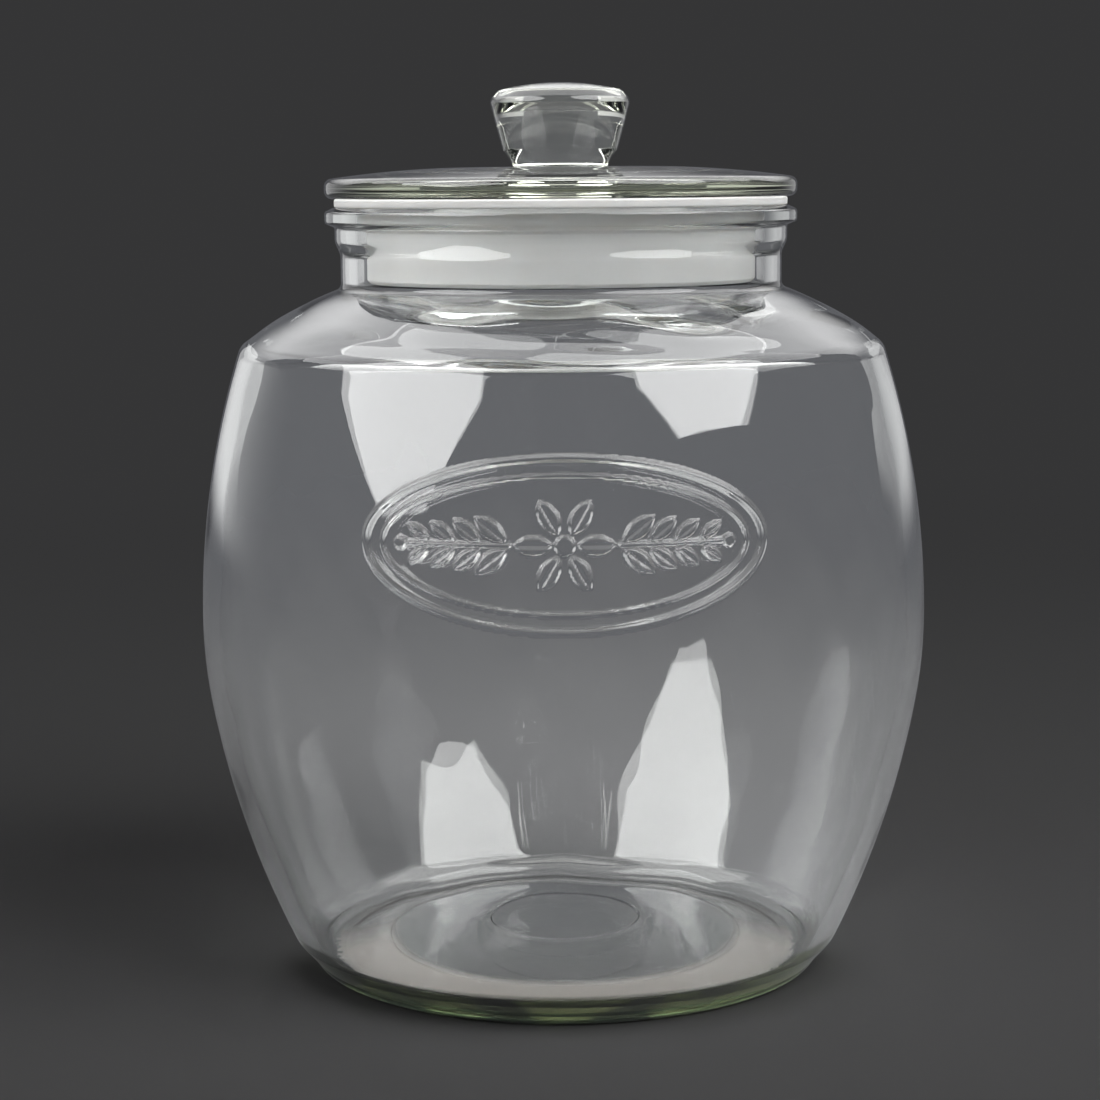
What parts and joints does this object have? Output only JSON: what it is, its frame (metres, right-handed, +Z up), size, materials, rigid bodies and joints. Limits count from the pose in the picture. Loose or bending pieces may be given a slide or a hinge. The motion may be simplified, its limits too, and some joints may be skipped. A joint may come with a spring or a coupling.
{
  "type": "glass storage jar",
  "caption": "Barrel-shaped clear glass storage jar with a raised medallion, a glass lid with a solid knob and a white push-in seal.",
  "frame": {"origin": "centre of the base, on the surface that the jar stands on", "axes": "+Z up along the axis of revolution; the raised medallion faces -Y; +X to the right when the medallion is looked at"},
  "size_m": [0.2, 0.2009, 0.2438],
  "materials": {
    "clear_glass": "polished clear soda-lime glass with a faint green cast at thick edges",
    "white_seal": "soft translucent white plastic"
  },
  "bodies": {
    "root": {"jar": "clear_glass", "lid": "clear_glass", "seal": "white_seal"}
  },
  "joints": []
}
